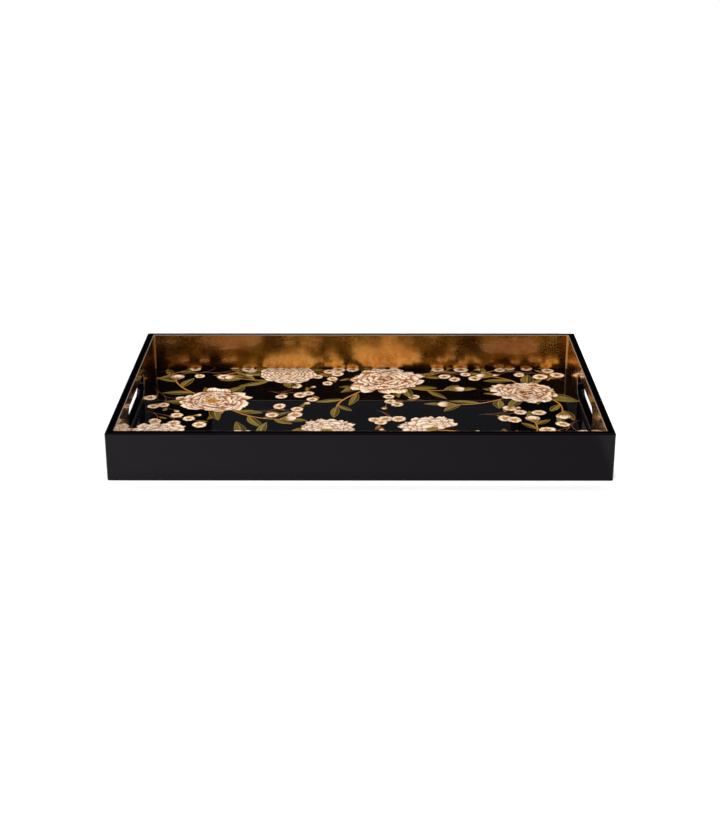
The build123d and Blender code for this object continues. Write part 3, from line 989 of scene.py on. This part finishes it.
def panel(material):
    """The decorated floor panel: a fine flat grid that carries the painting, closed by its edges and its underside."""
    paint()
    gap = 0.1
    nx, ny = NX // 2, NY // 2
    wide = np.pad(canvas, ((1, 1), (1, 1), (0, 0)), mode="edge")
    colour = (wide[0::2, 0::2] + wide[1::2, 0::2] + wide[0::2, 1::2] + wide[1::2, 1::2]) / 4
    x = np.linspace(PX0 + gap, -PX0 - gap, nx + 1)
    y = np.linspace(PY0 + gap, -PY0 - gap, ny + 1)
    top = np.empty(((ny + 1), (nx + 1), 3))
    top[..., 0], top[..., 1], top[..., 2] = x[None, :], y[:, None], FLOOR_TOP
    low = FLOOR_TOP - 0.5
    corners = [(x[0], y[0], low), (x[-1], y[0], low), (x[-1], y[-1], low), (x[0], y[-1], low)]
    points = np.concatenate([top.reshape(-1, 3), np.array(corners)]) * MM
    i, j = np.meshgrid(np.arange(nx), np.arange(ny))
    a = (j * (nx + 1) + i).ravel()
    quads = np.stack([a, a + 1, a + nx + 2, a + nx + 1], 1)
    n = (nx + 1) * (ny + 1)
    south = np.arange(nx + 1)
    north = ny * (nx + 1) + np.arange(nx + 1)
    west = np.arange(ny + 1) * (nx + 1)
    east = west + nx
    sides = [
        np.concatenate([[n, n + 1], south[::-1]]),
        np.concatenate([[n + 1, n + 2], east[::-1]]),
        np.concatenate([[n + 2, n + 3], north]),
        np.concatenate([[n + 3, n], west]),
    ]
    loops = np.concatenate([quads.ravel(), *sides, [n, n + 3, n + 2, n + 1]]).astype(np.int32)
    totals = np.concatenate([np.full(len(quads), 4), [len(s) for s in sides], [4]])
    starts = np.concatenate([[0], np.cumsum(totals)[:-1]]).astype(np.int32)
    mesh = bpy.data.meshes.new("decorated_panel")
    mesh.vertices.add(len(points))
    mesh.vertices.foreach_set("co", points.astype(np.float32).ravel())
    mesh.loops.add(len(loops))
    mesh.loops.foreach_set("vertex_index", loops)
    mesh.polygons.add(len(totals))
    mesh.polygons.foreach_set("loop_start", starts)
    mesh.update(calc_edges=True)
    mesh.validate()
    mesh.polygons.foreach_set("use_smooth", np.zeros(len(mesh.polygons), bool))
    # the map: the painted face takes nearly all of it, the edges and the underside a strip below
    at = points[loops] / MM
    uv = np.empty((len(loops), 2))
    uv[:, 0] = (at[:, 0] - PX0) / PW
    uv[:, 1] = 0.06 + 0.936 * (at[:, 1] - PY0) / PH
    k = len(quads) * 4
    for number, side in enumerate(sides):
        part = slice(k, k + len(side))
        run = at[part, 0] if number % 2 == 0 else at[part, 1]
        uv[part, 0] = 0.02 + 0.9 * (run - run.min()) / np.ptp(run)
        uv[part, 1] = 0.004 + 0.006 * number + 0.004 * (at[part, 2] - low) / 0.5
        k += len(side)
    uv[k:, 0] = 0.02 + 0.9 * (at[k:, 0] - PX0) / PW
    uv[k:, 1] = 0.032 + 0.018 * (at[k:, 1] - PY0) / PH
    layer = mesh.uv_layers.new(name="OFBake")
    layer.data.foreach_set("uv", np.clip(uv, 0.001, 0.999).astype(np.float32).ravel())
    rgba = np.ones((len(points), 4), np.float32)
    rgba[:n, :3] = colour.reshape(-1, 3)
    rgba[n:, :3] = GROUND
    attribute = mesh.attributes.new("decoration", "FLOAT_COLOR", "POINT")
    attribute.data.foreach_set("color", rgba.ravel())
    mesh.materials.append(material)
    o = bpy.data.objects.new("decorated_panel", mesh)
    bpy.context.scene.collection.objects.link(o)
    return o


def felt(material):
    """The cloth under the base: a thin sheet with rounded corners, a soft edge and a slightly uneven face."""
    lo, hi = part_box("underside_felt")
    hx, hy = hi.x / MM, hi.y / MM
    z0, z1 = lo.z / MM, hi.z / MM
    r = 2.0
    rings = []
    steps = 6

    def outline(inset):
        rr = max(r - inset, 0.3)
        pts = []
        for cx, cy, a0 in ((hx - r, hy - r, 0), (-hx + r, hy - r, 90), (-hx + r, -hy + r, 180), (hx - r, -hy + r, 270)):
            for k in range(steps + 1):
                a = math.radians(a0 + 90 * k / steps)
                pts.append((cx + rr * math.cos(a), cy + rr * math.sin(a)))
        return pts

    step = 3.0
    nx, ny = int(round(2 * (hx - r) / step)), int(round(2 * (hy - r) / step))
    xs = np.linspace(-hx + r, hx - r, nx + 1)
    ys = np.linspace(-hy + r, hy - r, ny + 1)
    rng = np.random.default_rng(77)
    rough = rng.normal(0, 1, (ny + 1, nx + 1))
    for _ in range(2):
        rough = (rough + np.roll(rough, 1, 0) + np.roll(rough, -1, 0) + np.roll(rough, 1, 1) + np.roll(rough, -1, 1)) / 5
    rough = 0.05 * rough / np.abs(rough).max()
    b = Build()
    mid = (z0 + z1) / 2

    def both(i, j):
        return xs[i], ys[j], rough[j, i]

    for j in range(ny):
        for i in range(nx):
            q = [both(i, j), both(i + 1, j), both(i + 1, j + 1), both(i, j + 1)]
            b.face([(x, y, z1) for x, y, w in q])
            b.face([(x, y, z0 + 0.05 + w) for x, y, w in reversed(q)])
    # the rim: from the grid's edge out to the rounded outline, both sides
    loop = (
        [(i, 0, 0, -1) for i in range(nx)] + [(nx, j, 1, 0) for j in range(ny)]
        + [(i, ny, 0, 1) for i in range(nx, 0, -1)] + [(0, j, -1, 0) for j in range(ny, 0, -1)]
    )
    section = [(0.0, 1.0), (r - 0.45, 1.0), (r - 0.12, 0.72), (r, 0.0), (r - 0.12, -0.72), (r - 0.45, -1.0), (0.0, -1.0)]
    around = []
    for n, (i, j, dx, dy) in enumerate(loop):
        px, py, pdx, pdy = loop[n - 1][0], loop[n - 1][1], loop[n - 1][2], loop[n - 1][3]
        if (pdx, pdy) != (dx, dy):
            a0 = math.atan2(pdy, pdx)
            for k in range(steps):
                a = a0 + math.pi / 2 * k / steps
                around.append((i, j, math.cos(a), math.sin(a)))
        around.append((i, j, dx, dy))

    def at(entry, s):
        i, j, dx, dy = entry
        out, side = s
        if out == 0.0:
            z = z1 if side > 0 else z0 + 0.05 + rough[j, i]
        else:
            z = mid + side * ((z1 - mid) if side > 0 else (mid - z0 - 0.02))
        return (xs[i] + dx * out, ys[j] + dy * out, z)

    for n in range(len(around)):
        p, q = around[n - 1], around[n]
        for s0, s1 in zip(section, section[1:]):
            b.face([at(p, s0), at(p, s1), at(q, s1), at(q, s0)])
    return b.make("felt_underside", [material])


class Nodes:
    """Short names for building a material's nodes."""

    def __init__(self, name):
        self.material = bpy.data.materials.new(name)
        self.material.use_nodes = True
        self.tree = self.material.node_tree
        self.tree.nodes.clear()
        self.out = self.tree.nodes.new("ShaderNodeOutputMaterial")
        self.shader = self.tree.nodes.new("ShaderNodeBsdfPrincipled")
        self.tree.links.new(self.shader.outputs[0], self.out.inputs[0])
        self.place = self.tree.nodes.new("ShaderNodeTexCoord").outputs["Object"]

    def set(self, name, value):
        socket = self.shader.inputs[name]
        if isinstance(value, bpy.types.NodeSocket):
            self.tree.links.new(value, socket)
        else:
            socket.default_value = value

    def feed(self, node, name, value):
        socket = node.inputs[name]
        if isinstance(value, bpy.types.NodeSocket):
            self.tree.links.new(value, socket)
        else:
            socket.default_value = value

    def noise(self, scale, detail=2.0, rough=0.5, stretch=None, twist=0.0, offset=(0, 0, 0), output=0):
        n = self.tree.nodes.new("ShaderNodeTexNoise")
        at = self.place
        if stretch or any(offset):
            at = self.scaled(stretch or (1, 1, 1), offset)
        self.feed(n, "Vector", at)
        n.inputs["Scale"].default_value = scale
        n.inputs["Detail"].default_value = detail
        n.inputs["Roughness"].default_value = rough
        n.inputs["Distortion"].default_value = twist
        return n.outputs[output]

    def scaled(self, scale, offset=(0, 0, 0)):
        n = self.tree.nodes.new("ShaderNodeMapping")
        self.feed(n, "Vector", self.place)
        n.inputs["Scale"].default_value = scale
        n.inputs["Location"].default_value = offset
        return n.outputs[0]

    def cells(self, scale, feature="DISTANCE_TO_EDGE", at=None):
        n = self.tree.nodes.new("ShaderNodeTexVoronoi")
        n.feature = feature
        self.feed(n, "Vector", self.place if at is None else at)
        n.inputs["Scale"].default_value = scale
        return n.outputs["Color" if feature == "F1" else "Distance"]

    def sums(self, operation, a, b=0.0, c=0.0):
        n = self.tree.nodes.new("ShaderNodeMath")
        n.operation = operation
        for k, v in enumerate((a, b, c)):
            self.feed(n, k, v)
        return n.outputs[0]

    def ramp(self, value, a, b, lo=0.0, hi=1.0, smooth=True):
        """value from a..b becomes lo..hi."""
        n = self.tree.nodes.new("ShaderNodeMapRange")
        n.interpolation_type = "SMOOTHSTEP" if smooth else "LINEAR"
        for k, v in zip(("Value", "From Min", "From Max", "To Min", "To Max"), (value, a, b, lo, hi)):
            self.feed(n, k, v)
        return n.outputs[0]

    def blend(self, share, a, b, kind="MIX"):
        n = self.tree.nodes.new("ShaderNodeMix")
        n.data_type = "RGBA"
        n.blend_type = kind
        self.feed(n, 0, share)
        for k, v in ((6, a), (7, b)):
            if isinstance(v, bpy.types.NodeSocket):
                self.tree.links.new(v, n.inputs[k])
            else:
                n.inputs[k].default_value = (*v, 1.0)
        return n.outputs[2]

    def attribute(self, name, output="Fac"):
        n = self.tree.nodes.new("ShaderNodeAttribute")
        n.attribute_name = name
        return n.outputs[output]

    def split(self, at=None):
        n = self.tree.nodes.new("ShaderNodeSeparateXYZ")
        self.feed(n, 0, self.place if at is None else at)
        return n.outputs

    def bump(self, height, distance, strength=1.0, before=None):
        n = self.tree.nodes.new("ShaderNodeBump")
        n.inputs["Strength"].default_value = strength
        n.inputs["Distance"].default_value = distance
        self.feed(n, "Height", height)
        if before is not None:
            self.feed(n, "Normal", before)
        return n.outputs[0]


def black_lacquer(name, shine):
    m = Nodes(name)
    broad = m.noise(7.0, 3.0, 0.55)
    cloud = m.noise(38.0, 4.0, 0.6, offset=(3, 1, 2))
    dust = m.noise(2200.0, 1.0, 0.5)
    speck = m.ramp(dust, 0.70, 0.78)
    colour = m.blend(broad, (0.0007, 0.0006, 0.0008), (0.0012, 0.0010, 0.0013))
    colour = m.blend(m.sums("MULTIPLY", speck, 0.25), colour, (0.016, 0.015, 0.015))
    m.set("Base Color", colour)
    rough = m.ramp(cloud, 0.3, 0.7, 0.06, 0.09)
    rough = m.sums("MULTIPLY_ADD", speck, 0.12, rough)
    m.set("Roughness", rough)
    m.set("Specular IOR Level", shine)
    m.set("Specular Tint", (1.0, 0.90, 1.0, 1.0))
    peel = m.noise(330.0, 2.0, 0.5)
    m.set("Normal", m.bump(m.sums("MULTIPLY_ADD", dust, 0.10, peel), 6e-6))
    return m.material


def gold_leaf():
    m = Nodes("gold_leaf")
    x, y, z = m.split()
    run = m.sums("ADD", x, y)
    wobble = m.noise(60.0, 2.0)
    run = m.sums("MULTIPLY_ADD", wobble, 0.0035, run)
    sheet = m.sums("DIVIDE", run, 0.079)
    number = m.sums("FLOOR", sheet)
    tone_node = m.tree.nodes.new("ShaderNodeTexWhiteNoise")
    tone_node.noise_dimensions = "1D"
    m.feed(tone_node, "W", number)
    tone = tone_node.outputs["Value"]
    edge = m.sums("ABSOLUTE", m.sums("SUBTRACT", m.sums("FRACT", sheet), 0.5))
    lap = m.ramp(edge, 0.478, 0.492)
    broad = m.noise(16.0, 3.0, 0.55, offset=(1, 2, 3))
    mottle = m.noise(95.0, 5.0, 0.62, stretch=(1, 1, 1.6), twist=0.4)
    fine = m.noise(620.0, 4.0, 0.6)
    brushed = m.noise(240.0, 3.0, 0.6, stretch=(0.25, 0.25, 2.2))
    crack_at = m.cells(210.0)
    crack = m.sums("MULTIPLY", m.ramp(crack_at, 0.030, 0.008), m.ramp(m.noise(45.0, 2.0, offset=(5, 5, 5)), 0.52, 0.66))
    spread_ = m.sums("MULTIPLY_ADD", fine, 0.45, m.sums("MULTIPLY_ADD", broad, 0.35, m.sums("MULTIPLY", mottle, 0.55)))
    shade_ = m.ramp(spread_, 0.40, 0.95)
    colour = m.blend(shade_, (0.80, 0.345, 0.05), (1.0, 0.63, 0.15))
    colour = m.blend(m.sums("MULTIPLY", tone, 0.18), colour, (0.78, 0.41, 0.11))
    colour = m.blend(m.sums("MULTIPLY", lap, 0.10), colour, (0.80, 0.50, 0.16))
    colour = m.blend(m.sums("MULTIPLY", crack, 0.55), colour, (0.10, 0.035, 0.010))
    # the leaf is darker towards the ends of the tray, and warmer at the right end
    warm = m.ramp(x, 0.178, 0.212)
    colour = m.blend(m.sums("MULTIPLY", warm, 0.55), colour, (1.0, 0.48, 0.06))
    ends = m.ramp(m.sums("ADD", m.sums("ABSOLUTE", x), m.sums("MULTIPLY", wobble, 0.03)), 0.075, 0.165)
    ends = m.sums("MULTIPLY", ends, m.sums("SUBTRACT", 1.0, warm))
    colour = m.blend(m.sums("MULTIPLY", ends, 0.66), colour, (0.23, 0.066, 0.006))
    mark = m.attribute("arris")  # 1 on a pale edge, partly worn and partly a painted highlight; up to 2 where it is painted dark as shade; -1 on the bead of size in an inner corner, painted bright as a highlight
    worn_and_highlit = m.sums("MINIMUM", m.sums("MAXIMUM", mark, 0.0), 1.0)
    bead_highlight = m.ramp(mark, -0.15, -0.75)
    # painted highlight and wear: the pale edges take a light, non-metal colour
    colour = m.blend(m.sums("MULTIPLY", worn_and_highlit, 0.95), colour, (0.215, 0.165, 0.132))
    # painted shade: the lower edge of each hand slot is dark
    colour = m.blend(m.ramp(mark, 1.0, 1.7), colour, (0.012, 0.009, 0.008))
    # painted highlight: the bead of size in each inner corner is pale and bright
    colour = m.blend(m.sums("MULTIPLY", bead_highlight, 0.95), colour, (1.0, 0.60, 0.22))
    m.set("Base Color", colour)
    pale_marks = m.sums("MAXIMUM", worn_and_highlit, bead_highlight)
    m.set("Metallic", m.sums("SUBTRACT", 1.0, pale_marks))
    rough = m.ramp(mottle, 0.25, 0.75, 0.165, 0.215)
    rough = m.sums("MULTIPLY_ADD", fine, 0.03, rough)
    rough = m.sums("MULTIPLY_ADD", crack, 0.25, rough)
    rough = m.sums("MAXIMUM", rough, m.sums("MULTIPLY", worn_and_highlit, 0.48))
    rough = m.sums("MAXIMUM", rough, m.sums("MULTIPLY", bead_highlight, 0.72))
    m.set("Roughness", rough)
    m.set("Anisotropic", 0.6)
    m.set("Anisotropic Rotation", 0.25)
    tangent = m.tree.nodes.new("ShaderNodeTangent")
    tangent.direction_type = "RADIAL"
    tangent.axis = "Z"
    m.set("Tangent", tangent.outputs[0])
    # the coat is mostly taken off the pale edges, where the painted highlight stands in for its gloss
    m.set("Coat Weight", m.sums("MULTIPLY_ADD", worn_and_highlit, -0.9, 1.0))
    m.set("Coat Roughness", 0.03)
    m.set("Coat IOR", 1.5)
    m.set("Coat Normal", m.bump(m.noise(26.0, 2.0, 0.45), 2.0e-5))
    wrinkle = m.sums("MULTIPLY_ADD", brushed, 0.5, m.sums("MULTIPLY_ADD", fine, 0.30, mottle))
    wrinkle = m.sums("MULTIPLY_ADD", lap, 0.03, wrinkle)
    m.set("Normal", m.bump(wrinkle, 1.5e-5))
    return m.material


def painted_panel():
    m = Nodes("painted_panel")
    paint_ = m.attribute("decoration", "Color")
    grain = m.noise(900.0, 3.0, 0.6)
    cloud = m.noise(14.0, 3.0, 0.5)
    tint = m.ramp(m.sums("MULTIPLY_ADD", cloud, 0.6, m.sums("MULTIPLY", grain, 0.5)), 0.3, 0.8, 0.90, 1.06)
    whole = m.tree.nodes.new("ShaderNodeVectorMath")
    whole.operation = "SCALE"
    m.feed(whole, 0, paint_)
    m.feed(whole, "Scale", tint)
    m.set("Base Color", whole.outputs[0])
    m.set("Roughness", m.ramp(grain, 0.3, 0.7, 0.40, 0.52))
    m.set("Specular IOR Level", 0.0)
    m.set("Coat Weight", 1.0)
    m.set("Coat Roughness", 0.02)
    m.set("Coat IOR", 1.34)
    m.set("Normal", m.bump(grain, 3e-6))
    wave = m.noise(22.0, 1.0, 0.4)
    m.set("Coat Normal", m.bump(wave, 1.2e-5))
    return m.material


def felt_cloth():
    m = Nodes("felt")
    fibre_a = m.noise(1500.0, 4.0, 0.7, stretch=(1.0, 0.22, 1.0), twist=1.5)
    fibre_b = m.noise(1300.0, 4.0, 0.7, stretch=(0.25, 1.0, 1.0), twist=1.5, offset=(7, 3, 1))
    matted = m.noise(120.0, 3.0, 0.6)
    both = m.sums("MAXIMUM", fibre_a, fibre_b)
    c = m.blend(m.ramp(both, 0.45, 0.75), (0.006, 0.006, 0.007), (0.030, 0.029, 0.031))
    c = m.blend(m.ramp(matted, 0.35, 0.7, 0.0, 0.35), c, (0.016, 0.015, 0.016))
    m.set("Base Color", c)
    m.set("Roughness", m.ramp(both, 0.4, 0.8, 0.86, 1.0))
    m.set("Specular IOR Level", 0.15)
    m.set("Sheen Weight", 0.5)
    m.set("Sheen Roughness", 0.5)
    m.set("Normal", m.bump(m.sums("MULTIPLY_ADD", matted, 0.5, both), 2.5e-4))
    return m.material


def base_paint():
    m = Nodes("base_board")
    fibre_ = m.noise(700.0, 5.0, 0.65, stretch=(0.12, 1.0, 1.0))
    cloud = m.noise(30.0, 3.0)
    c = m.blend(fibre_, (0.010, 0.008, 0.007), (0.026, 0.021, 0.018))
    c = m.blend(m.ramp(cloud, 0.4, 0.7, 0.0, 0.4), c, (0.015, 0.012, 0.011))
    m.set("Base Color", c)
    m.set("Roughness", m.ramp(fibre_, 0.3, 0.7, 0.55, 0.75))
    m.set("Specular IOR Level", 0.3)
    m.set("Normal", m.bump(fibre_, 3e-5))
    return m.material


def spline_wood():
    m = Nodes("spline_wood")
    rings = m.noise(260.0, 4.0, 0.6, stretch=(1.0, 1.0, 0.06), twist=0.6)
    pores = m.noise(2400.0, 2.0, 0.6, stretch=(1.0, 1.0, 0.05))
    c = m.blend(m.ramp(rings, 0.35, 0.65), (0.36, 0.20, 0.095), (0.58, 0.38, 0.20))
    c = m.blend(m.ramp(pores, 0.62, 0.72, 0.0, 0.6), c, (0.16, 0.08, 0.04))
    m.set("Base Color", c)
    m.set("Roughness", m.ramp(rings, 0.3, 0.7, 0.5, 0.7))
    m.set("Normal", m.bump(m.sums("ADD", rings, pores), 3e-5))
    return m.material


# the rim's copy of the lacquer has less shine: painted shade in place of the lights' highlights
lacquer, rim, gilt, painted, cloth, board, wood = (
    black_lacquer("black_lacquer", 0.10), black_lacquer("black_lacquer_rim_shaded", 0.03),
    gold_leaf(), painted_panel(), felt_cloth(), base_paint(), spline_wood(),
)


def shade_rim_lacquer(o, material):
    """The rim, down to where its outer rounding starts, takes a copy of the lacquer with less shine, a deeper black
    than the faces: painted shade that keeps the lights' highlights off it.
    """
    o.data.materials.append(material)
    for p in o.data.polygons:
        if p.center.z > 0.0450:
            p.material_index = 1


for side in ("front", "back", "left", "right"):
    o = wall(side, lacquer)
    shade_rim_lacquer(o, rim)
    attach(o, "root")
    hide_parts(side + "_wall")
    o = lining(side, gilt)
    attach(o, "root")

o = panel(painted)
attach(o, "root")
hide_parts("art_panel")

o = felt(cloth)
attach(o, "root")
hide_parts("underside_felt")

for node, m in (("base_board", board), ("corner_splines", wood)):
    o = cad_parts[node]
    for s in o.material_slots:
        s.material = m


# ---------------------------------------------------------------- floor, light and camera
def stage_floor():
    mesh = bpy.data.meshes.new("studio_floor")
    n, size = 24, 6.0
    k = np.linspace(-size, size, n + 1)
    points = [(x, y + 2.0, -0.0002) for y in k for x in k]
    faces = [(j * (n + 1) + i, j * (n + 1) + i + 1, (j + 1) * (n + 1) + i + 1, (j + 1) * (n + 1) + i) for j in range(n) for i in range(n)]
    mesh.from_pydata(points, [], faces)
    m = Nodes("studio_floor")
    m.set("Base Color", m.blend(m.noise(3.0, 2.0), (0.59, 0.59, 0.59), (0.61, 0.61, 0.61)))
    m.set("Roughness", 0.9)
    m.set("Specular IOR Level", 0.1)
    fx, fy, fz = m.split()
    out = m.sums("SQRT", m.sums("ADD", m.sums("MULTIPLY", fx, fx), m.sums("MULTIPLY", fy, fy)))
    # The floor's glow is painted light for the tray: in reflections it is brighter to the left, past the tray's right
    # end, and from just in front of the tray backwards.
    away = m.ramp(out, 0.5, 1.6)
    near = m.ramp(fx, -0.25, 0.25, 1.58, 0.52, smooth=False)
    near = m.sums("ADD", near, m.ramp(fx, 0.2285, 0.238, 0.0, 1.0))
    close = m.sums("MULTIPLY", m.ramp(fy, -0.175, -0.152), m.ramp(fx, -0.10, 0.23, 0.0, 0.35, smooth=False))
    near = m.sums("ADD", near, close)
    away = m.sums("MULTIPLY_ADD", m.sums("SUBTRACT", 1.30, near), away, near)
    m.set("Emission Color", (1.0, 1.0, 1.0, 1.0))
    # the lit paper is no brighter than white to the eye, and as bright as the lights need it in the lacquer
    seen = m.tree.nodes.new("ShaderNodeLightPath").outputs["Is Camera Ray"]
    # Seen by the camera it glows just enough to look white, and more beside the tray's right end, left end and front,
    # as painted light filling the tray's shadows.
    paper = m.ramp(out, 0.4, 1.6, 0.34, 1.02)
    for a, b, c, d, axis, shadow_fill in (
        (0.2285, 0.238, 0.31, 0.238, fx, 0.40),
        (-0.262, -0.236, -0.200, -0.2285, fx, 0.12),
        (-0.168, -0.147, -0.135, -0.144, fy, 0.34),
    ):
        paper = m.sums("MULTIPLY_ADD", m.ramp(axis, a, b), m.ramp(axis, c, d, 0.0, shadow_fill), paper)
    away = m.sums("MULTIPLY_ADD", seen, m.sums("SUBTRACT", paper, away), away)
    m.set("Emission Strength", away)
    mesh.materials.append(m.material)
    o = bpy.data.objects.new("studio_floor", mesh)
    bpy.context.scene.collection.objects.link(o)
    return o


stage_floor()


def softbox(name, at, aim, width, height, power, colour=(1, 1, 1), spread_=180):
    data = bpy.data.lights.new(name, "AREA")
    data.shape = "RECTANGLE"
    data.size, data.size_y = width, height
    data.energy = power
    data.color = colour
    data.spread = math.radians(spread_)
    o = bpy.data.objects.new(name, data)
    bpy.context.scene.collection.objects.link(o)
    from mathutils import Vector

    d = Vector(aim) - Vector(at)
    o.location = at
    o.rotation_mode = "QUATERNION"
    o.rotation_quaternion = d.to_track_quat("-Z", "Y")
    o.visible_camera = False
    return o


softbox("bank_front", (0, -0.80, 2.2), (0, 0, 0), 3.4, 0.72, 32)
bank_back = softbox("bank_back", (0, 0.78, 2.2), (0, 0, 0), 3.4, 0.58, 44)
softbox("key_left", (-1.7, -0.1, 1.9), (0, 0, 0.02), 0.8, 0.8, 26)
softbox("far_card", (-0.006, 3.0, 1.11), (0, 0, 0.01), 0.94, 0.34, 0.066, (0.86, 0.93, 1.0))

world = bpy.data.worlds.new("studio")
bpy.context.scene.world = world
world.use_nodes = True
wt = world.node_tree
wt.nodes.clear()
w_out = wt.nodes.new("ShaderNodeOutputWorld")
w_mix = wt.nodes.new("ShaderNodeMixShader")
w_path = wt.nodes.new("ShaderNodeLightPath")
w_seen = wt.nodes.new("ShaderNodeBackground")
w_seen.inputs[0].default_value = (1, 1, 1, 1)
w_seen.inputs[1].default_value = 1.0
w_dark = wt.nodes.new("ShaderNodeBackground")
w_dark.inputs[0].default_value = (0.9, 0.95, 1.0, 1)
w_dark.inputs[1].default_value = 0.004
wt.links.new(w_path.outputs["Is Camera Ray"], w_mix.inputs[0])
wt.links.new(w_dark.outputs[0], w_mix.inputs[1])
wt.links.new(w_seen.outputs[0], w_mix.inputs[2])
wt.links.new(w_mix.outputs[0], w_out.inputs[0])

bpy.context.scene.view_settings.view_transform = "Standard"
bpy.context.scene.view_settings.look = "None"

lens = bpy.data.cameras.new("camera")
lens.sensor_fit = "AUTO"
lens.sensor_width = 36.0
lens.lens = 65.83
lens.shift_y = 0.0188
lens.clip_start, lens.clip_end = 0.05, 30.0
camera = bpy.data.objects.new("camera", lens)
camera.location = (0.00403, -1.38378, 0.54556)
camera.rotation_euler = (math.pi / 2 - 0.37554, 0.00065, 0.00307)
bpy.context.scene.collection.objects.link(camera)
bpy.context.scene.camera = camera
